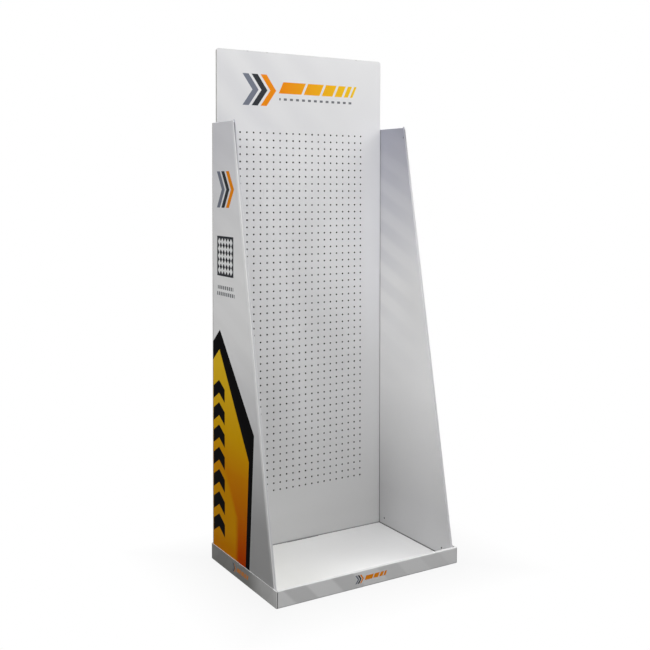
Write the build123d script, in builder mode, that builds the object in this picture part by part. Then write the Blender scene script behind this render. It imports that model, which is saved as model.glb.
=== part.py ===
"""A floor display stand of corrugated card: two side walls and a hook panel in a low tray."""

from build123d import *
import os

os.makedirs("parts", exist_ok=True)

# Sizes are in millimetres. X runs to the stand's right, Y to its back and Z up.
# The origin is on the floor, under the middle of the tray.

# the sheet that everything is folded from
card = 3.0
fold_radius = 2.0  # outside of an ordinary fold
slip = 0.5  # room beside a sheet that slides in
start_above = 1.0  # how far a cutting block stands clear of what it cuts

# side walls, each a flat folded tube
inner_width = 646.0  # between the two walls
wall_thickness = 9.0
wall_height = 1478.0
wall_top_depth = 166.0
lip_rise = 4.0  # the front strip stands a little above the wall's top
lip_round = 2.0
locking_hole_diameter = 6.0
locking_hole_height = 31.0
front_locking_hole_inset = 61.0  # from the wall's front foot corner
rear_locking_hole_inset = 35.0  # from the panel's face
top_hole_drop = 36.0
top_hole_inset = 8.0

# hook panel, with the header as its upper end
stand_height = 1728.0
panel_depth = 10.0
panel_side_gap = 1.5
header_corner_radius = 8.0
hole_diameter = 6.0
hole_pitch = 25.0
hole_columns = 20
hole_rows = 51
lowest_row_height = 200.0

# tray
tray_depth = 500.0
tray_height = 53.0
rim_thickness = 12.0  # the rolled front rim
rim_radius = 3.0
corner_radius = 4.0
corner_seam = 1.0
corner_flap_length = 80.0

# loose sheet on the tray's bottom
insert_gap = 2.0
insert_notch_width = 125.0
insert_notch_depth = 3.0
insert_notch_angle = 100.0

# places that follow from the sizes above
inner_half = inner_width / 2
outer_half = inner_half + wall_thickness
tray_half = outer_half + slip + card
tray_front = -tray_depth / 2
tray_rear = tray_depth / 2
rim_rear = tray_front + rim_thickness
board_rear = tray_rear - 2 * card - slip
wall_rear = board_rear - card
panel_front = wall_rear - panel_depth
panel_half = inner_half - panel_side_gap
wall_foot_front = rim_rear + slip
wall_top_front = wall_rear - wall_top_depth
wall_lean = (wall_top_front - wall_foot_front) / (wall_height - card)
sheet_along_lean = card * (1 + wall_lean**2) ** 0.5
rim_half = tray_half - corner_radius - corner_seam / 2


def front_plane(place):
    """Upright plane across the stand at this Y, drawn as seen from the front."""
    return Plane.XZ.offset(-place)


def wall_front(height):
    """Y of a side wall's leaning front edge at this height."""
    return wall_foot_front + wall_lean * (height - card)


# Base tray: one folded sheet with a rolled front rim and glued corner flaps.
with BuildPart() as base_tray:
    with BuildSketch(Plane.XY):
        RectangleRounded(2 * tray_half, tray_depth, corner_radius)
    extrude(amount=tray_height)
    fillet(base_tray.faces().sort_by(Axis.Z)[0].edges(), radius=fold_radius)
    with BuildSketch(Plane.XY.offset(card)):
        Rectangle(2 * (tray_half - card), tray_depth - 2 * card)
    extrude(amount=tray_height, mode=Mode.SUBTRACT)

    # corner flaps, folded in from the sides behind the front and rear panels
    flap_middle_x = tray_half - card - corner_flap_length / 2
    flap_middle_y = tray_rear - card * 3 / 2
    with BuildSketch(Plane.XY.offset(card)):
        for side in (-1, 1):
            for end in (-1, 1):
                with Locations((side * flap_middle_x, end * flap_middle_y)):
                    Rectangle(corner_flap_length, card)
    extrude(amount=tray_height - 2 * card - slip)

    # the seams between the side panels' folds and the front panel
    with BuildSketch(Plane.XY.offset(fold_radius)):
        for side in (-1, 1):
            with Locations((side * rim_half, tray_front + card / 2)):
                Rectangle(corner_seam, card)
    extrude(amount=tray_height, mode=Mode.SUBTRACT)

    # the rim's top strip and the panel that goes back down behind it
    with BuildSketch(Plane.YZ.offset(-rim_half + corner_seam / 2)):
        with Locations((tray_front + rim_thickness / 2, tray_height - card / 2)):
            Rectangle(rim_thickness, card)
        with BuildLine():
            Polyline(
                (rim_rear - card, card + slip),
                (rim_rear, card + slip),
                (rim_rear, tray_height),
                (rim_rear - card, tray_height),
                close=True,
            )
        make_face()
    extrude(amount=2 * rim_half - corner_seam)
    rim_edges = base_tray.edges().filter_by(Axis.X).group_by(Axis.Z)[-1]
    long_rim_edges = rim_edges.filter_by(lambda edge: edge.center().Y < rim_rear + slip)
    fillet(long_rim_edges.filter_by(lambda edge: edge.length > rim_half), radius=rim_radius)
base_tray.part.label = "base_tray"
export_step(base_tray.part, "parts/base_tray.step")


# Floor insert: a loose flat sheet with a shallow lifting notch in its rear edge.
insert_front = rim_rear + insert_gap
insert_rear = panel_front - insert_gap
with BuildPart() as floor_insert:
    with BuildSketch(Plane.XY.offset(card)):
        with Locations((0, (insert_front + insert_rear) / 2)):
            Rectangle(inner_width - 2 * insert_gap, insert_rear - insert_front)
        with Locations((0, insert_rear)):
            Trapezoid(
                insert_notch_width,
                2 * insert_notch_depth,
                insert_notch_angle,
                mode=Mode.SUBTRACT,
            )
    extrude(amount=card)
floor_insert.part.label = "floor_insert"
export_step(floor_insert.part, "parts/floor_insert.step")


# Side walls: flat tubes with a leaning front, closed on top and open at the foot.
for side, node_name in ((-1, "side_wall_left"), (1, "side_wall_right")):
    with BuildPart() as side_wall:
        with BuildSketch(Plane.YZ.offset(side * inner_half)):
            with BuildLine():
                Polyline(
                    (wall_rear, card),
                    (wall_foot_front, card),
                    (wall_top_front, wall_height),
                    (wall_rear, wall_height),
                    close=True,
                )
            make_face()
        extrude(amount=side * wall_thickness)
        folds = side_wall.faces().filter_by(Axis.X).edges()
        foot_edges = folds.group_by(Axis.Z)[0]
        fillet([edge for edge in folds if edge not in foot_edges], radius=fold_radius)

        # the hollow between the two panels
        hollow_top = wall_height - card
        with BuildSketch(Plane.YZ.offset(side * (inner_half + card))):
            with BuildLine():
                Polyline(
                    (wall_rear - card, card - start_above),
                    (wall_front(card - start_above) + sheet_along_lean, card - start_above),
                    (wall_front(hollow_top) + sheet_along_lean, hollow_top),
                    (wall_rear - card, hollow_top),
                    close=True,
                )
            make_face()
        extrude(amount=side * (wall_thickness - 2 * card), mode=Mode.SUBTRACT)

        # the front strip's upper end, a low rounded lip
        lip_top = wall_height + lip_rise
        with BuildSketch(Plane.XY.offset(wall_height - card)):
            lip_middle = wall_front(wall_height) + sheet_along_lean / 2 + fold_radius
            with Locations((side * (inner_half + wall_thickness / 2), lip_middle)):
                Rectangle(wall_thickness - 2 * fold_radius, card)
        extrude(amount=card + lip_rise)
        lip_ends = side_wall.edges().filter_by(Axis.Y).group_by(Axis.Z)[-1]
        fillet(lip_ends, radius=lip_round)

        # holes through the inner panel only
        with BuildSketch(Plane.YZ.offset(side * inner_half)):
            rear_hole = (panel_front - rear_locking_hole_inset, locking_hole_height)
            front_hole_y = wall_foot_front + fold_radius + front_locking_hole_inset
            front_hole = (front_hole_y, locking_hole_height)
            top_hole_z = wall_height - top_hole_drop
            top_hole = (wall_front(top_hole_z) + top_hole_inset, top_hole_z)
            with Locations(rear_hole, front_hole, top_hole):
                Circle(locking_hole_diameter / 2)
        extrude(amount=side * card, mode=Mode.SUBTRACT)
    side_wall.part.label = node_name
    export_step(side_wall.part, f"parts/{node_name}.step")


# Hook sheet: the flat perforated face, which runs up past the walls as the header.
sheet_middle_z = (card + stand_height) / 2
grid_middle_z = lowest_row_height + hole_pitch * (hole_rows - 1) / 2
with BuildPart() as hook_sheet:
    with BuildSketch(front_plane(panel_front + card)) as hook_outline:
        with Locations((0, sheet_middle_z)):
            Rectangle(2 * panel_half, stand_height - card)
        fillet(hook_outline.vertices().group_by(Axis.Y)[-1], radius=header_corner_radius)
        with Locations((0, grid_middle_z)):
            with GridLocations(hole_pitch, hole_pitch, hole_columns, hole_rows):
                Circle(hole_diameter / 2, mode=Mode.SUBTRACT)
    extrude(amount=card, clean=False)  # a flat sheet has no faces to merge
hook_sheet.part.label = "hook_sheet"
export_step(hook_sheet.part, "parts/hook_sheet.step")


# Panel backing: a shallow folded tray that carries the hook sheet and makes it stiff.
backing_front = panel_front + card
with BuildPart() as panel_backing:
    with BuildSketch(front_plane(wall_rear)) as backing_outline:
        with Locations((0, sheet_middle_z)):
            Rectangle(2 * panel_half, stand_height - card)
        fillet(backing_outline.vertices().group_by(Axis.Y)[-1], radius=header_corner_radius)
    extrude(amount=wall_rear - backing_front)
    fillet(panel_backing.faces().sort_by(Axis.Y)[-1].edges(), radius=fold_radius)
    with BuildSketch(front_plane(wall_rear - card)) as backing_hollow:
        with Locations((0, sheet_middle_z)):
            Rectangle(2 * (panel_half - card), stand_height - 3 * card)
        hollow_radius = header_corner_radius - card
        fillet(backing_hollow.vertices().group_by(Axis.Y)[-1], radius=hollow_radius)
    extrude(amount=panel_depth, mode=Mode.SUBTRACT)
panel_backing.part.label = "panel_backing"
export_step(panel_backing.part, "parts/panel_backing.step")


# Rear board: the flat sheet glued across the walls and the panel at the back.
with BuildPart() as rear_board:
    with BuildSketch(front_plane(board_rear)):
        with Locations((0, (card + wall_height) / 2)):
            Rectangle(2 * outer_half, wall_height - card)
    extrude(amount=card)
rear_board.part.label = "rear_board"
export_step(rear_board.part, "parts/rear_board.step")
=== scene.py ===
import bpy
import math
from mathutils import Matrix, Vector


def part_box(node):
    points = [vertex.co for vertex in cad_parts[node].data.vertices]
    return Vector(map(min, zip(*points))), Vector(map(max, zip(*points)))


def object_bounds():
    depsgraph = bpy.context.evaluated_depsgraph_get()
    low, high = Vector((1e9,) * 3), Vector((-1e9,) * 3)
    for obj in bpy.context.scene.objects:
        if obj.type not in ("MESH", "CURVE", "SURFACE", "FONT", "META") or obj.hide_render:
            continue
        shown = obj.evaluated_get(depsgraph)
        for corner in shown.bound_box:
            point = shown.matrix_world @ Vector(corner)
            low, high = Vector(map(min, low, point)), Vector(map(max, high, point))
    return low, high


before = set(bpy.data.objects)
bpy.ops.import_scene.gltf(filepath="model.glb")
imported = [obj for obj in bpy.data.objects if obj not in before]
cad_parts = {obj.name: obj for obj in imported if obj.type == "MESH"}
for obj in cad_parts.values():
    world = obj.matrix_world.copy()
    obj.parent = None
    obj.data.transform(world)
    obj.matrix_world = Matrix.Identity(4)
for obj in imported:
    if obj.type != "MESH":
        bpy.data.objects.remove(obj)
cadLow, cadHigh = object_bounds()

# Places that the finishes need, in metres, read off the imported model.
wallLow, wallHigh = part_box("side_wall_right")
sheetLow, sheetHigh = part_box("hook_sheet")
boardLow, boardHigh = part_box("rear_board")
insertLow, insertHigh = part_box("floor_insert")
trayLow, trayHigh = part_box("base_tray")
backingLow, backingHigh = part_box("panel_backing")
print("frame loaded, the stand is", round(cadHigh.z - cadLow.z, 3), "m tall")

card = {
    "thick": 0.003,  # one sheet of board
    "flutePitch": 0.0064,  # from wave to wave of the paper inside it
    "liner": 0.13,  # share of the thickness that each flat paper takes at a cut edge
    "waveDepth": 0.34,
    "waveWidth": 0.1,
    "edgeSoft": 0.05,
    "skin": 0.0002,  # how far the paint of a cut edge reaches past it
}

ink = {  # colours as a screen shows them, 0 to 255
    "paper": (231, 231, 232),
    "panelPaper": (235, 235, 236),
    "panelLight": (250, 250, 255),
    "patchLight": (250, 250, 251),
    "panelShade": (231, 231, 231),
    "footPaper": (221, 221, 221),
    "innerPaper": (246, 246, 246),
    "innerMiddle": (253, 253, 253),
    "innerFoot": (212, 212, 213),
    "outerPaper": (244, 244, 244),
    "outerMiddle": (251, 251, 251),
    "outerTop": (220, 220, 224),
    "outerFoot": (180, 180, 180),
    "plainPaper": (228, 227, 224),
    "insertPaper": (249, 249, 248),
    "insertLeft": (240, 240, 237),
    "insertRight": (255, 255, 255),
    "stripPaper": (209, 209, 211),
    "stripLitRight": (223, 223, 226),
    "foldHighlight": (255, 255, 255),
    "paleLineAndHighlight": (238, 238, 238),
    "trayPaper": (231, 231, 231),
    "cutPaper": (205, 203, 198),
    "cutGap": (92, 89, 84),
    "holeShade": (84, 82, 80),
    "hollow": (58, 56, 54),
    "contactShadow": (84, 83, 82),
    "lavender": (170, 171, 183),
    "black": (4, 3, 4),
    "charcoal": (58, 60, 64),
    "slate": (120, 125, 138),
    "orange": (240, 142, 28),
    "amber": (244, 200, 42),
    "gold": (233, 176, 12),
    "tangerine": (223, 144, 6),
    "rust": (198, 68, 0),
    "ruleGrey": (118, 120, 124),
}


def linear(levels):  # a screen colour as the linear colour that a shader takes
    parts = [level / 255 for level in levels]
    parts = [part / 12.92 if part < 0.04 else ((part + 0.055) / 1.055) ** 2.4 for part in parts]
    return (*parts, 1.0)


class Wire:  # a socket of a material's node tree, usable in sums
    def __init__(self, tree, socket=None):
        self.tree = tree
        self.socket = socket

    def node(self, kind, settings=None, inputs=None, output=0):
        made = self.tree.nodes.new(kind)
        for name, value in (settings or {}).items():
            if name == "stops":
                self.setStops(made.color_ramp, value)
            else:
                setattr(made, name, value)
        for name, value in (inputs or {}).items():
            if isinstance(value, Wire):
                self.tree.links.new(value.socket, made.inputs[name])
            else:
                made.inputs[name].default_value = value
        return Wire(self.tree, made.outputs[output]) if made.outputs else None

    def setStops(self, ramp, stops):
        while len(ramp.elements) < len(stops):
            ramp.elements.new(1.0)
        for element, (place, colour) in zip(ramp.elements, stops):
            element.position = place
            element.color = colour

    def math(self, operation, other=0.0):
        return self.node("ShaderNodeMath", {"operation": operation}, {0: self, 1: other})

    def mathAfter(self, operation, other):  # the same with the two values swapped
        return self.node("ShaderNodeMath", {"operation": operation}, {0: other, 1: self})

    def __add__(self, other):
        return self.math("ADD", other)

    def __radd__(self, other):
        return self.mathAfter("ADD", other)

    def __sub__(self, other):
        return self.math("SUBTRACT", other)

    def __rsub__(self, other):
        return self.mathAfter("SUBTRACT", other)

    def __mul__(self, other):
        return self.math("MULTIPLY", other)

    def __rmul__(self, other):
        return self.mathAfter("MULTIPLY", other)

    def __truediv__(self, other):
        return self.math("DIVIDE", other)

    def __rtruediv__(self, other):
        return self.mathAfter("DIVIDE", other)

    def __abs__(self):
        return self.math("ABSOLUTE")

    def clipped(self):
        return self.node("ShaderNodeClamp", None, {0: self})

    def over(self, edge, soft=0.0004):  # 0 before the edge, 1 past it
        return ((self - edge) / soft + 0.5).clipped()

    def under(self, edge, soft=0.0004):
        return 1 - self.over(edge, soft)

    def within(self, low, high, soft=0.0004):
        return self.over(low, soft) * self.under(high, soft)

    def stripes(self, pitch, share, soft=0.02, start=0.0):  # 1 on bands centred on start
        turn = ((self - start) / pitch + 0.5).math("FRACT") - 0.5
        return abs(turn).under(share / 2, soft)


def paint(under, mask, top, blend="MIX"):  # one colour laid over another through a mask
    settings = {"data_type": "RGBA", "blend_type": blend}
    return mask.node("ShaderNodeMix", settings, {0: mask, 6: under, 7: top}, 2)


def shades(value, *stops):  # named colours along a value from 0 to 1
    stops = [(place, linear(ink[name])) for place, name in stops]
    return value.node("ShaderNodeValToRGB", {"stops": stops}, {0: value})


def strongest(*masks):
    result = masks[0]
    for mask in masks[1:]:
        result = result.math("MAXIMUM", mask)
    return result


def pastLine(u, v, start, end):  # distance to the left of the line from start to end
    across = end[0] - start[0]
    up = end[1] - start[1]
    length = math.hypot(across, up)
    return (v - start[1]) * (across / length) - (u - start[0]) * (up / length)


def rightOf(u, v, corners, grown=0.0):  # 1 on the right of the bent line through the corners
    sides = [pastLine(u, v, *ends).under(grown) for ends in zip(corners, corners[1:])]
    result = sides[0]
    for side in sides[1:]:
        result = result * side
    return result


def startFinish(name):  # an empty material, its place wire, and x, y and z in metres
    material = bpy.data.materials.new(name)
    material.use_nodes = True
    material.node_tree.nodes.clear()
    tree = Wire(material.node_tree)
    place = tree.node("ShaderNodeTexCoord", None, None, "Object")
    x = place.node("ShaderNodeSeparateXYZ", None, {0: place})
    y = Wire(material.node_tree, x.socket.node.outputs[1])
    z = Wire(material.node_tree, x.socket.node.outputs[2])
    return material, place, x, y, z


paper = {
    "blotch": 0.03,  # how far the white varies over a hand's width
    "blotchScale": 7,
    "blotchDetail": 4,
    "fleck": 0.025,  # fibres and flecks of a millimetre
    "fleckScale": 620,
    "fleckDetail": 3,
    "ribs": 0.000014,  # height of the inner paper's waves that press through the face
    "tooth": 0.000005,  # height of the paper's own tooth
    "roughness": 0.42,
    "roughnessSpread": 0.2,
    "gloss": 0.003,
}


def noise(place, scale, detail):
    return place.node("ShaderNodeTexNoise", None, {"Vector": place, "Scale": scale, "Detail": detail})


def finishPaper(material, place, across, colour, rougher=0.0):  # across runs over the inner waves
    fine = noise(place, paper["fleckScale"], paper["fleckDetail"])
    broad = noise(place, paper["blotchScale"], paper["blotchDetail"])
    shade = 1 + (broad - 0.5) * paper["blotch"] + (fine - 0.5) * paper["fleck"]
    toned = shade.node("ShaderNodeVectorMath", {"operation": "SCALE"}, {0: colour, "Scale": shade})
    wave = (across * (2 * math.pi / card["flutePitch"])).math("SINE")
    height = wave * paper["ribs"] + fine * paper["tooth"]
    bump = height.node("ShaderNodeBump", None, {"Height": height, "Distance": 1.0, "Strength": 1.0})
    sheen = (broad - 0.5) * paper["roughnessSpread"] + (paper["roughness"] + rougher)
    inputs = {"Base Color": toned, "Roughness": sheen, "Normal": bump}
    inputs["Specular IOR Level"] = paper["gloss"]
    shader = bump.node("ShaderNodeBsdfPrincipled", None, inputs)
    shader.node("ShaderNodeOutputMaterial", None, {"Surface": shader})
    return material


def cutEdge(depth, along):  # a cut across the waves; depth is 0 to 1 through the board
    soft = card["edgeSoft"]
    liner = depth.under(card["liner"], soft) + depth.over(1 - card["liner"], soft)
    middle = (along * (2 * math.pi / card["flutePitch"])).math("SINE") * card["waveDepth"] + 0.5
    wave = abs(depth - middle).under(card["waveWidth"], soft)
    return paint(linear(ink["cutGap"]), strongest(liner, wave), linear(ink["cutPaper"]))


def outermost(value, end):  # 1 in the last skin before a piece's end
    return value.over(end - card["skin"], card["skin"] / 2)


def paintCutEdges(colour, x, y, z, low, high):  # an upright sheet's edges on top and at its sides
    depth = (y - low.y) / card["thick"]
    colour = paint(colour, outermost(z, high.z), cutEdge(depth, x))
    return paint(colour, outermost(abs(x), high.x), cutEdge(depth, x * 0))


arrows = {  # a plain motif of arrowheads side by side, as shares of its height
    "reach": 0.34,
    "thick": 0.21,
    "step": 0.31,
    "middle": 1.45,  # steps from the first one to the place that the motif is centred on
    "inks": ("slate", "charcoal", "orange"),
}


def paintArrows(colour, u, v, height):  # arrowheads that point along u
    rows = abs(v).under(height / 2)
    for index, name in enumerate(arrows["inks"]):
        start = (index - arrows["middle"]) * arrows["step"] * height
        along = u + abs(v) * (2 * arrows["reach"]) - (start + arrows["reach"] * height)
        head = along.within(0, arrows["thick"] * height) * rows
        colour = paint(colour, head, linear(ink[name]))
    return colour


def slantedBlocks(u, v, height, slant, edges):  # a row of leaning blocks along u
    lean = u - v * slant
    blocks = [lean.within(start, end) for start, end in edges]
    return strongest(*blocks) * abs(v).under(height / 2)


def dashes(u, v, ends, pitch, share, height, soft=0.04):  # a broken rule along u
    return u.stripes(pitch, share, soft, ends[0]) * u.within(*ends) * abs(v).under(height / 2)


panel = {
    "arrowsX": -0.180,
    "arrowsZ": 1.597,
    "arrowsHeight": 0.108,
    "blocksZ": 1.609,
    "blocksHeight": 0.040,
    "slant": 0.45,
    "blocks": (
        (-0.084, 0.004),
        (0.013, 0.076),
        (0.085, 0.128),
        (0.137, 0.166),
        (0.175, 0.192),
        (0.201, 0.211),
    ),
    "dashZ": 1.569,
    "dashHeight": 0.008,
    "dashPitch": 0.0236,
    "dashShare": 0.5,
    "dashEnds": (-0.091, 0.209),
    "nicks": (-0.210, -0.137, 0.217),  # where the top edge is nicked
    "nickWidth": 0.007,
    "nickDepth": 0.003,
    "nickStrength": 0.2,
    "stripePitch": 0.17,
    "stripeLean": 0.9,
    "stripeShare": 0.5,
    "stripeSoft": 0.3,
    "stripeStrength": 0.12,
    # each fade, here and below, gives its middle, or both its middles, and then its length
    "stripeFoot": (1.42, 0.12),
    "stripeRight": (0.0, 0.4),
    "patchLeft": (0.03, 0.12),  # a patch of painted light that narrows above and below its middle
    "patchRight": (0.3, 0.06),
    "patchHeights": (0.8, 1.3, 0.35),
    "patchMiddle": 1.0,
    "patchSlant": 0.35,
    "patchStrength": 0.85,
    "lightLeft": (0.25, 0.2),  # the bluish light at the right
    "lightFoot": (0.8, 0.3),
    "lightTop": 1.7,
    "lightStrength": 0.7,
    "shadeRight": (0.015, 0.16),  # the shade beside the left wall
    "shadeHeights": (0.3, 1.4, 0.35),
    "shadeLean": 0.18,
    "lowShadeTop": (0.55, 0.3),  # and the one over the panel's lower third
    "lowShadeStrength": 0.25,
    "contactHeight": 0.003,  # the painted contact shadow where the sheet meets the insert
    "contactSoft": 0.002,
    "contactStrength": 0.55,
}


def tonePanel(x, z):  # the paper's tone over the whole panel, darker at its foot, with painted light in a patch and at the right, painted shade beside the left wall and over the lower third, and pale stripes
    rise = (z - sheetLow.z) / (sheetHigh.z - sheetLow.z)
    tones = (0.05, "footPaper"), (0.25, "panelPaper"), (0.7, "panelPaper"), (0.83, "paper")
    colour = shades(rise, *tones)
    # painted light: a lighter patch at mid height
    patch = (x - abs(z - panel["patchMiddle"]) * panel["patchSlant"]).over(*panel["patchLeft"])
    patch = patch * x.under(*panel["patchRight"]) * z.within(*panel["patchHeights"])
    colour = paint(colour, patch * panel["patchStrength"], linear(ink["patchLight"]))
    lighter = x.over(*panel["lightLeft"]) * z.over(*panel["lightFoot"])
    lighter = lighter * (panel["lightTop"] - z).clipped()
    colour = paint(colour, lighter * panel["lightStrength"], linear(ink["panelLight"]))
    beside = (x + z * panel["shadeLean"]).under(*panel["shadeRight"])
    beside = beside * z.within(*panel["shadeHeights"])
    low = z.under(*panel["lowShadeTop"]) * panel["lowShadeStrength"]
    colour = paint(colour, (beside + low).clipped(), linear(ink["panelShade"]), "MULTIPLY")
    lean = x + z * panel["stripeLean"]
    stripe = lean.stripes(panel["stripePitch"], panel["stripeShare"], panel["stripeSoft"])
    stripe = stripe * z.over(*panel["stripeFoot"]) * x.under(*panel["stripeRight"])
    return paint(colour, stripe * panel["stripeStrength"], linear(ink["lavender"]))


def printHeader(colour, x, z):  # the panel's upper end, above the walls
    colour = paintArrows(colour, x - panel["arrowsX"], z - panel["arrowsZ"], panel["arrowsHeight"])
    v = z - panel["blocksZ"]
    blocks = slantedBlocks(x, v, panel["blocksHeight"], panel["slant"], panel["blocks"])
    first, last = panel["blocks"][0][0], panel["blocks"][-1][1]
    warm = shades((x - first) / (last - first), (0.0, "orange"), (1.0, "amber"))
    colour = paint(colour, blocks, warm)
    v = z - panel["dashZ"]
    size = panel["dashPitch"], panel["dashShare"], panel["dashHeight"]
    return paint(colour, dashes(x, v, panel["dashEnds"], *size), linear(ink["ruleGrey"]))


holes = {
    "pitch": 0.025,
    "columns": 20,
    "rows": 51,
    "firstRow": 0.2,
    "radius": 0.003,
    "skin": 0.0001,
}


def shadeHoleWalls(colour, x, z):  # the holes are cut through the board; their walls get painted shade so that they read dark
    pitch = holes["pitch"]
    halfWidth = pitch * holes["columns"] / 2
    foot = holes["firstRow"] - pitch / 2
    u = ((x + halfWidth) / pitch).math("FRACT") - 0.5
    v = ((z - foot) / pitch).math("FRACT") - 0.5
    fromCentre = (u * u + v * v).math("SQRT") * pitch
    rim = fromCentre.under(holes["radius"] + holes["skin"], holes["skin"])
    rim = rim * abs(x).under(halfWidth) * z.within(foot, foot + pitch * holes["rows"])
    return paint(colour, rim, linear(ink["holeShade"]))


def finishHookSheet():
    material, place, x, y, z = startFinish("printedHookSheet")
    colour = printHeader(tonePanel(x, z), x, z)
    colour = shadeHoleWalls(colour, x, z)
    colour = paintCutEdges(colour, x, y, z, sheetLow, sheetHigh)
    nicked = strongest(*[abs(x - nick).under(panel["nickWidth"] / 2) for nick in panel["nicks"]])
    nicked = nicked * z.over(sheetHigh.z - panel["nickDepth"]) * panel["nickStrength"]
    colour = paint(colour, nicked, linear(ink["cutGap"]))
    # painted contact shadow along the sheet's foot
    foot = z.under(insertHigh.z + panel["contactHeight"], panel["contactSoft"])
    colour = paint(colour, foot * panel["contactStrength"], linear(ink["contactShadow"]))
    return finishPaper(material, place, x, colour)


field = {  # the amber field at the foot of the outer faces, with corners as Y and Z
    "edging": ((-0.051, 0.048), (-0.086, 0.488), (0.182, 0.789), (0.2405, 0.743)),
    "inside": ((-0.021, 0.048), (-0.047, 0.397), (0.186, 0.723), (0.2405, 0.680)),
    "height": 0.75,  # where the run of its colours ends
    "outline": 0.004,  # the pale line around the edging
    "outlineStrength": 0.25,
    "lobeFront": (0.047, 0.03),  # the lighter part behind the field's reddish front foot
    "lobeTop": (0.33, 0.1),
    "lobeBend": 0.195,
    "lobeLean": 0.71,
    "lobeShare": 0.85,  # how much of the redness it keeps off
    "lobeGold": 0.4,
    "goldFoot": (0.1, 0.06),
    "rednessHeight": 0.28,
    "rednessFoot": 1.25,  # its share at the floor, where anything past 1 is full red
    "columnY": (0.143, 0.237),  # the column of black arrowheads
    "columnStart": 0.148,
    "columnCount": 7,
    "columnPitch": 0.075,
    "columnShare": 0.58,
    "columnReach": 0.55,
}


def paintField(colour, y, z):
    halo = rightOf(y, z, field["edging"], field["outline"]) * field["outlineStrength"]
    colour = paint(colour, halo, linear(ink["paleLineAndHighlight"]))
    colour = paint(colour, rightOf(y, z, field["edging"]), linear(ink["black"]))
    tones = (0.08, "tangerine"), (0.44, "tangerine"), (0.6, "gold"), (0.9, "amber")
    warm = shades(z / field["height"], *tones)
    climb = (z - field["lobeBend"]).math("MAXIMUM") * field["lobeLean"]
    lobe = (y - climb).over(*field["lobeFront"]) * z.under(*field["lobeTop"])
    redness = (field["rednessFoot"] - z / field["rednessHeight"]).clipped()
    warm = paint(warm, redness * (1 - lobe * field["lobeShare"]), linear(ink["rust"]))
    golden = lobe * z.over(*field["goldFoot"]) * field["lobeGold"]
    warm = paint(warm, golden, linear(ink["gold"]))
    inside = rightOf(y, z, field["inside"])
    colour = paint(colour, inside, warm)

    low, high = field["columnY"]
    pitch = field["columnPitch"]
    first = field["columnStart"]
    point = z + abs(y - (low + high) / 2) * field["columnReach"]
    column = point.stripes(pitch, field["columnShare"], start=first)
    ends = first - pitch / 2, first + (field["columnCount"] - 0.5) * pitch
    column = column * y.within(low, high) * point.within(*ends) * inside
    return paint(colour, column, linear(ink["black"]))


tile = {  # the framed tile of diamonds
    "y": 0.137,
    "z": 1.035,
    "size": 0.132,
    "border": 0.007,
    "diamonds": 5,
    "diamondSize": (0.45, 0.03),  # half of one and its blur, as shares of a cell
}


def paintTile(colour, y, z):
    u = y - tile["y"]
    v = z - tile["z"]
    half = tile["size"] / 2
    inner = half - tile["border"]
    square = strongest(abs(u), abs(v))
    cell = inner * 2 / tile["diamonds"]
    across = abs((u / cell).math("FRACT") - 0.5)
    up = abs((v / cell).math("FRACT") - 0.5)
    diamond = (across + up).under(*tile["diamondSize"]) * square.under(inner)
    return paint(colour, strongest(square.within(inner, half), diamond), linear(ink["charcoal"]))


wall = {
    "topDepth": 0.166,  # from front to back at the wall's top
    "arrowsY": 0.151,
    "arrowsZ": 1.255,
    "arrowsHeight": 0.120,
    "ruleZ": (0.931, 0.910),
    "ruleEnds": ((0.072, 0.198), (0.062, 0.204)),
    "ruleHeight": 0.012,
    "rulePitch": 0.0155,
    "ruleShare": 0.62,
    "stripePitch": 0.1028,
    "stripeShare": 0.5,
    "stripeSoft": 0.18,
    "stripeRise": 0.4,
    "stripeStart": 1.236,
    "stripeFoot": 0.5,  # the stripes begin here and grow stronger upwards
    "stripeGrowth": 0.95,
    "stripeFront": -0.06,  # and here, growing stronger to the rear
    "stripeReach": 0.2,
    "innerStripes": 0.3,
    "outerStripes": 0.05,
    "frontShadeY": 0.13,  # the inner face is darker in front of this, at half its height
    "frontShadeLength": 0.12,
    "frontShadeHeights": (0.65, 0.95, 0.15),
    "frontShadeStrength": 0.35,
    "rearShadeY": 0.08,  # and behind this, near its foot
    "rearShadeLength": 0.1,
    "rearShadeTop": (0.25, 0.2),
    "rearShadeStrength": 0.25,
    "seamWidth": 0.003,  # painted shade along the corners at the panel and at the insert
    "seamSoft": 0.002,
    "seamStrength": 0.5,
    "seamFoot": 1.1,
    "seamFading": 0.8,
    "footStrength": 0.8,
    "holes": ((0.1955, 0.031), (-0.1745, 0.031)),  # Y and Z of the ones whose walls get painted shade, inner side only
    "holeRadius": 0.003,
    "holeSoft": 0.000001,  # of the squared distance
    "stripDepth": 0.0008,
    "stripEdge": (0.002, 0.001),  # a painted highlight along the strip's outer corner
    "fold": (0.012, 0.008),  # a painted highlight on the outer face beside the rounded front fold
    "foldHeights": (0.2, 1.35, 0.3),
    "foldStrength": 0.75,
    "closedTop": 0.01,  # the hollow doesn't show in this part under the top
}


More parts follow.
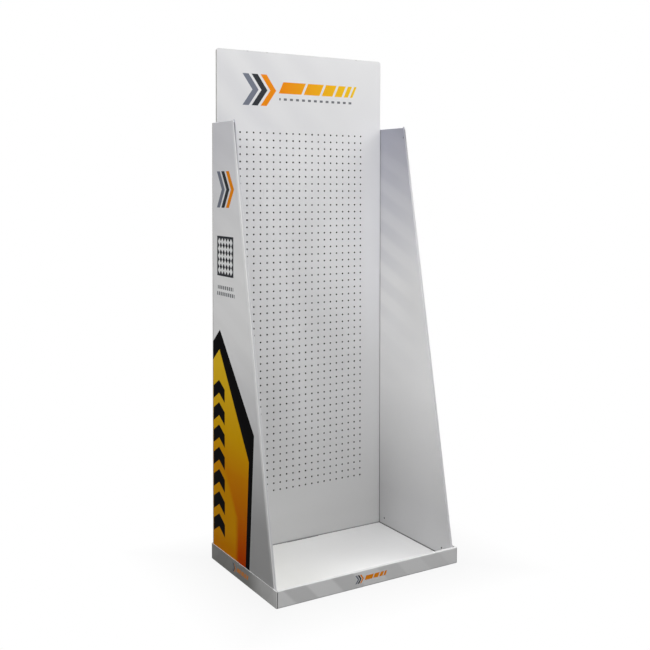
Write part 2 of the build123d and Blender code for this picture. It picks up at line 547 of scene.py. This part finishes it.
def toneInnerFace(y, z, rise, bands):  # rise is 0 at the wall's foot and 1 at its top; the face is darker at the foot, gets painted light at half the height and painted shade in front and near the rear foot
    tones = (0.1, "innerFoot"), (0.36, "innerPaper"), (0.47, "innerMiddle"), (0.62, "innerPaper")
    colour = shades(rise, *tones, (1.0, "lavender"))
    upper = ((z - wall["stripeFoot"]) / wall["stripeGrowth"]).clipped()
    rear = ((y - wall["stripeFront"]) / wall["stripeReach"]).clipped()
    colour = paint(colour, bands * (upper * rear) * wall["innerStripes"], linear(ink["lavender"]))
    forward = ((wall["frontShadeY"] - y) / wall["frontShadeLength"]).clipped()
    forward = forward * z.within(*wall["frontShadeHeights"]) * wall["frontShadeStrength"]
    colour = paint(colour, forward, linear(ink["panelShade"]), "MULTIPLY")
    rearward = ((y - wall["rearShadeY"]) / wall["rearShadeLength"]).clipped()
    rearward = rearward * z.under(*wall["rearShadeTop"]) * wall["rearShadeStrength"]
    return paint(colour, rearward, linear(ink["panelShade"]), "MULTIPLY")


def paintInnerMarks(colour, y, z, rise):  # painted shade along the corners at the panel and the insert, and in the two lower holes
    seamShade = y.over(sheetLow.y - wall["seamWidth"], wall["seamSoft"])
    seamShade = seamShade * (wall["seamFoot"] - rise * wall["seamFading"]).clipped() * wall["seamStrength"]
    foot = z.under(insertHigh.z + wall["seamWidth"], wall["seamSoft"]) * y.over(insertLow.y)
    cornerShade = strongest(seamShade, foot * wall["footStrength"])
    colour = paint(colour, cornerShade, linear(ink["contactShadow"]))
    # painted shade, black, on the two lower holes' walls
    reach = (wall["holeRadius"] + card["skin"]) ** 2
    away = [(y - holeY) * (y - holeY) + (z - holeZ) * (z - holeZ) for holeY, holeZ in wall["holes"]]
    shadedHoles = strongest(*[square.under(reach, wall["holeSoft"]) for square in away])
    return paint(colour, shadedHoles, linear(ink["black"]))


def printOuterFace(y, z, rise, bands):  # tone with painted light at half the height, amber field, arrowheads, tile and two rules
    tones = (0.14, "outerFoot"), (0.37, "paper"), (0.51, "outerMiddle"), (0.58, "outerMiddle")
    colour = shades(rise, *tones, (0.7, "outerPaper"), (0.95, "outerTop"))
    colour = paint(colour, bands * wall["outerStripes"], linear(ink["outerFoot"]))
    colour = paintField(colour, y, z)
    colour = paintArrows(colour, wall["arrowsY"] - y, z - wall["arrowsZ"], wall["arrowsHeight"])
    colour = paintTile(colour, y, z)
    size = wall["rulePitch"], wall["ruleShare"], wall["ruleHeight"]
    for height, ends in zip(wall["ruleZ"], wall["ruleEnds"]):
        colour = paint(colour, dashes(y, z - height, ends, *size), linear(ink["ruleGrey"]))
    return colour


def paintFrontStrip(colour, x, y, z):  # the narrow front strip, which leans with the wall, with painted highlights and the hollow's painted shade
    out = abs(x)
    middle = (wallLow.x + wallHigh.x) / 2
    lean = (wallHigh.y - wall["topDepth"] - wallLow.y) / (wallHigh.z - wallLow.z)
    behind = y - (wallLow.y + (z - wallLow.z) * lean)
    strip = behind.under(wall["stripDepth"], card["skin"])
    # painted light: the right wall's strip is lighter than the left's
    stripColour = paint(linear(ink["stripPaper"]), x.over(0), linear(ink["stripLitRight"]))
    colour = paint(colour, strip, stripColour)
    inset, soft = wall["stripEdge"]
    # painted highlight along the strip's outer corner
    colour = paint(colour, strip * out.over(wallHigh.x - inset, soft), linear(ink["paleLineAndHighlight"]))
    # painted highlight on the outer face beside the front fold
    fold = behind.under(*wall["fold"]) * out.over(middle) * z.within(*wall["foldHeights"])
    colour = paint(colour, fold * (1 - strip) * wall["foldStrength"], linear(ink["foldHighlight"]))
    # painted shade inside the hollow between the wall's two sheets
    hollowLow = wallLow.x + card["thick"] - card["skin"]
    hollowHigh = wallHigh.x - card["thick"] + card["skin"]
    hollow = out.within(hollowLow, hollowHigh) * z.under(wallHigh.z - wall["closedTop"])
    return paint(colour, hollow * (1 - strip), linear(ink["hollow"]))


def finishSideWall():
    material, place, x, y, z = startFinish("printedSideWall")
    rise = (z - wallLow.z) / (wallHigh.z - wallLow.z)
    lean = z - y * wall["stripeRise"]
    stripe = wall["stripePitch"], wall["stripeShare"], wall["stripeSoft"], wall["stripeStart"]
    bands = lean.stripes(*stripe)
    inner = paintInnerMarks(toneInnerFace(y, z, rise, bands), y, z, rise)
    outer = printOuterFace(y, z, rise, bands)
    colour = paint(inner, abs(x).over((wallLow.x + wallHigh.x) / 2), outer)
    colour = paintFrontStrip(colour, x, y, z)
    return finishPaper(material, place, y, colour)


tray = {
    "stripePitch": 0.165,
    "stripeShare": 0.46,
    "stripeSoft": 0.06,
    "stripeSlant": 0.9,
    "frontStripeStart": -0.228,
    "sideStripeStart": 0.02,
    "stripeShade": (236, 236, 236),
    "stripeLeft": -0.12,  # the front's stripes grow fainter to the right of this
    "stripeReach": 0.3,
    "stripeLoss": 0.6,
    "sideStripes": 0.3,
    "faceDepth": 0.001,  # how deep the outer faces' print reaches
    "footShadow": (0.0035, 0.002),  # a painted contact shadow where the front stands on the floor
    "footShadowStrength": 0.25,
    "shadeStart": -0.15,  # where the sides begin to darken towards the rear
    "shadeLength": 0.1,
    "sideTone": (236, 236, 235),
    "sideShade": (190, 190, 188),
    "cornerHighlight": (0.004, 0.006),  # a painted highlight on the sides' rounded front corners
    "cornerHighlightY": -0.236,
    "cornerHighlightStrength": 0.35,
    "seamX": 0.3315,  # painted shade in and beside the open seam at the front corners
    "seamWidth": 0.0026,
    "seamSoft": 0.001,
    "seamDepth": 0.0035,
    "seamDrop": 0.004,
    "seamStrength": 0.85,
    "seamLoss": 0.6,  # how much fainter it is at the right
    "markZ": 0.028,
    "arrowsHeight": 0.027,
    "blocksHeight": 0.014,
    "slant": 0.45,
    "frontArrowsX": -0.050,
    "frontBlocks": ((-0.025, 0.003), (0.007, 0.025), (0.029, 0.041), (0.045, 0.053)),
    "sideArrowsY": 0.065,
    "sideBlocks": ((0.008, 0.038), (-0.016, 0.004), (-0.034, -0.020), (-0.048, -0.038)),
    "sidePrint": 0.75,  # the sides' print is fainter than the front's
    "rimDepth": 0.014,  # the front rim is folded, so its top has no cut edge
    "edgeSoft": 0.01,
}


def toneTray(x, y, z, onFront, onSide):  # the paper's tone, its pale stripes, the sides' darkening and a painted contact shadow along the front's foot
    stripe = tray["stripePitch"], tray["stripeShare"], tray["stripeSoft"]
    rise = z * tray["stripeSlant"]
    fading = ((x - tray["stripeLeft"]) / tray["stripeReach"]).clipped() * tray["stripeLoss"]
    frontBands = (x + rise).stripes(*stripe, tray["frontStripeStart"]) * (1 - fading)
    colour = linear(ink["trayPaper"])
    colour = paint(colour, frontBands * onFront, linear(tray["stripeShade"]), "MULTIPLY")
    # painted contact shadow along the front's foot
    footShadow = z.under(*tray["footShadow"]) * onFront * tray["footShadowStrength"]
    colour = paint(colour, footShadow, linear(ink["contactShadow"]))
    sideBands = (y + rise).stripes(*stripe, tray["sideStripeStart"]) * tray["sideStripes"]
    colour = paint(colour, sideBands * onSide, linear(tray["stripeShade"]), "MULTIPLY")
    darker = ((y - tray["shadeStart"]) / tray["shadeLength"]).clipped()
    colour = paint(colour, darker * onSide, linear(tray["sideShade"]), "MULTIPLY")
    return paint(colour, onSide, linear(tray["sideTone"]), "MULTIPLY")


def paintTrayFolds(colour, x, y, z, onSide):  # the painted highlight and the painted seam shade beside the front corners
    # painted highlight on the rounded front corners
    cornerHighlight = abs(y - tray["cornerHighlightY"]).under(*tray["cornerHighlight"]) * onSide * tray["cornerHighlightStrength"]
    colour = paint(colour, cornerHighlight, linear(ink["paleLineAndHighlight"]))
    # painted shade in and beside the open seam
    seamShade = abs(abs(x) - tray["seamX"]).under(tray["seamWidth"] / 2, tray["seamSoft"])
    seamShade = seamShade * y.under(trayLow.y + tray["seamDepth"]) * z.under(trayHigh.z - tray["seamDrop"])
    seamShade = seamShade * (tray["seamStrength"] - x.over(0) * tray["seamLoss"])
    return paint(colour, seamShade, linear(ink["contactShadow"]))


def printMark(colour, u, v, slant, blocks, arrowsU):  # arrowheads and blocks on the tray
    printed = paintArrows(colour, arrowsU, v, tray["arrowsHeight"])
    mask = slantedBlocks(u, v, tray["blocksHeight"], slant, blocks)
    return paint(printed, mask, linear(ink["orange"]))


def paintTrayEdges(colour, x, y, z):  # the cut upper edges of the side and rear panels
    top = outermost(z, trayHigh.z) * y.over(trayLow.y + tray["rimDepth"])
    depth = (abs(x) - (trayHigh.x - card["thick"])) / card["thick"]
    colour = paint(colour, top * depth.over(0, tray["edgeSoft"]), linear(ink["paleLineAndHighlight"]))
    depth = (y - (trayHigh.y - card["thick"])) / card["thick"]
    return paint(colour, top * depth.over(0, tray["edgeSoft"]), cutEdge(depth, x))


def finishTray():
    material, place, x, y, z = startFinish("printedTray")
    onFront = y.under(trayLow.y + tray["faceDepth"])
    onSide = abs(x).over(trayHigh.x - tray["faceDepth"])
    colour = toneTray(x, y, z, onFront, onSide)
    colour = paintTrayFolds(colour, x, y, z, onSide)
    v = z - tray["markZ"]
    slant = tray["slant"]
    printed = printMark(colour, x, v, slant, tray["frontBlocks"], x - tray["frontArrowsX"])
    colour = paint(colour, onFront, printed)
    printed = printMark(colour, y, v, -slant, tray["sideBlocks"], tray["sideArrowsY"] - y)
    colour = paint(colour, onSide * tray["sidePrint"], printed)
    colour = paintTrayEdges(colour, x, y, z)
    return finishPaper(material, place, x + y, colour)


plain = {
    "insert": 0.08,  # how much rougher each board without print is
    "rearBoard": 0.16,
    "backing": 0.12,
    "foldDepth": 0.001,  # the backing's outer skin at its top and foot
}


def finishInsert():
    material, place, x, y, z = startFinish("insertBoard")
    # painted light and shade: darker at the left, lighter at the right
    tones = (0.2, "insertLeft"), (0.5, "insertPaper"), (0.85, "insertRight")
    colour = shades(x / insertHigh.x / 2 + 0.5, *tones)
    depth = (z - insertLow.z) / card["thick"]
    colour = paint(colour, 1 - outermost(z, insertHigh.z), cutEdge(depth, x))
    return finishPaper(material, place, x, colour, plain["insert"])


def finishRearBoard():
    material, place, x, y, z = startFinish("rearBoard")
    colour = paintCutEdges(linear(ink["plainPaper"]), x, y, z, boardLow, boardHigh)
    return finishPaper(material, place, x, colour, plain["rearBoard"])


def finishBacking():
    material, place, x, y, z = startFinish("backingBoard")
    wallDepth = card["thick"] - card["skin"]
    inside = y.within(backingLow.y + card["skin"], backingHigh.y - wallDepth)
    inside = inside * abs(x).under(backingHigh.x - wallDepth)
    inside = inside * z.within(backingLow.z + plain["foldDepth"], backingHigh.z - plain["foldDepth"])
    # painted shade inside the hollow backing
    colour = paint(linear(ink["plainPaper"]), inside, linear(ink["hollow"]))
    return finishPaper(material, place, x, colour, plain["backing"])


def giveFinish(node, material):
    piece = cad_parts[node]
    piece.data.materials.clear()
    piece.data.materials.append(material)


giveFinish("hook_sheet", finishHookSheet())
sideWallFinish = finishSideWall()
giveFinish("side_wall_left", sideWallFinish)
giveFinish("side_wall_right", sideWallFinish)
giveFinish("base_tray", finishTray())
giveFinish("floor_insert", finishInsert())
giveFinish("rear_board", finishRearBoard())
giveFinish("panel_backing", finishBacking())
print("finishes made")

studio = {
    "floorSize": 14.0,
    "floorColour": (160, 160, 160),
    "shadowShare": 0.1,  # how much of the floor's own shading the camera sees
    "shadowReach": 0.25,  # around the tray
    "worldStrength": 0.12,
    "lamps": {
        "overhead": {"place": (0.0, -0.5, 3.2), "size": 1.2, "power": 16.0},
        "rightTop": {"place": (1.5, -0.55, 4.0), "size": 2.0, "power": 34.0},
        "rightSide": {"place": (1.77, -0.31, 2.6), "size": 1.2, "power": 17.0},
        "rightFront": {"place": (2.0, -1.4, 2.2), "size": 1.4, "power": 6.0},
        "leftSide": {"place": (-1.97, -0.35, 2.4), "size": 1.2, "power": 16.5},
        "leftLow": {"place": (-1.6, 0.4, 1.2), "size": 0.8, "power": 2.5},
        "frontLow": {"place": (-0.57, -2.12, 1.5), "size": 1.2, "power": 16.0},
        "rear": {"place": (0.9, 2.6, 2.4), "size": 1.6, "power": 60.0},
    },
    "aim": (0.0, 0.1, 0.9),
}


def seenRays(tree):  # 1 for the rays that show a background, straight, mirrored or let through
    seen = tree.node("ShaderNodeLightPath", None, None, "Is Camera Ray")
    mirrored = Wire(tree.tree, seen.socket.node.outputs["Is Glossy Ray"])
    through = Wire(tree.tree, seen.socket.node.outputs["Is Transmission Ray"])
    return strongest(seen, mirrored, through)


def finishFloor():
    material, place, x, y, z = startFinish("paleFloor")
    seen = seenRays(place)
    away = strongest(abs(x) - trayHigh.x, abs(y) - trayHigh.y, x * 0)
    shaded = (1 - away / studio["shadowReach"]).clipped() * studio["shadowShare"]
    white = seen * (1 - shaded)
    matt = place.node("ShaderNodeBsdfDiffuse", None, {"Color": linear(studio["floorColour"])})
    glow = place.node("ShaderNodeEmission", None, {"Color": (1, 1, 1, 1), "Strength": 1.0})
    shader = place.node("ShaderNodeMixShader", None, {0: white, 1: matt, 2: glow})
    shader.node("ShaderNodeOutputMaterial", None, {"Surface": shader})
    return material


def addFloor():
    bpy.ops.object.select_all(action="DESELECT")
    bpy.ops.mesh.primitive_plane_add(size=studio["floorSize"], location=(0, 0, cadLow.z))
    floor = bpy.context.object
    floor.name = "floor"
    floor.data.materials.append(finishFloor())


def addWorld():
    world = bpy.data.worlds.new("whiteRoom")
    world.use_nodes = True
    world.node_tree.nodes.clear()
    tree = Wire(world.node_tree)
    strength = seenRays(tree) * (1 - studio["worldStrength"]) + studio["worldStrength"]
    shader = tree.node("ShaderNodeBackground", None, {"Color": (1, 1, 1, 1), "Strength": strength})
    shader.node("ShaderNodeOutputWorld", None, {"Surface": shader})
    bpy.context.scene.world = world


def addLamp(name, lamp):
    bpy.ops.object.light_add(type="AREA", location=lamp["place"])
    light = bpy.context.object
    light.name = name
    light.data.shape = "DISK"
    light.data.size = lamp["size"]
    light.data.energy = lamp["power"]
    light.visible_camera = False  # other views look past the lamps
    look = Vector(studio["aim"]) - Vector(lamp["place"])
    light.rotation_euler = look.to_track_quat("-Z", "Y").to_euler()


addFloor()
addWorld()
for lampName, lampValues in studio["lamps"].items():
    addLamp(lampName, lampValues)
print("studio set up")

eye = {
    "frameSize": 650,  # pixels of the square picture
    "place": (-1.6408, -2.9459, 1.2670),
    "turn": 0.6011,  # radians to the right of straight ahead
    "tip": 0.0310,  # radians down
    "roll": 0.0044,
    "focal": 1001.93,  # in pixels
    "centre": (427.69, 217.79),  # the pixel that the camera points at
}


def addCamera():
    bpy.ops.object.camera_add(location=eye["place"])
    camera = bpy.context.object
    turned = Matrix.Rotation(-eye["turn"], 4, "Z") @ Matrix.Rotation(math.pi / 2 - eye["tip"], 4, "X")
    camera.rotation_euler = (turned @ Matrix.Rotation(eye["roll"], 4, "Z")).to_euler()
    size = eye["frameSize"]
    camera.data.lens = eye["focal"] / size * camera.data.sensor_width
    camera.data.shift_x = (size / 2 - eye["centre"][0]) / size
    camera.data.shift_y = (eye["centre"][1] - size / 2) / size
    bpy.context.scene.camera = camera


addCamera()
bpy.context.scene.view_settings.view_transform = "Standard"
print("camera placed")
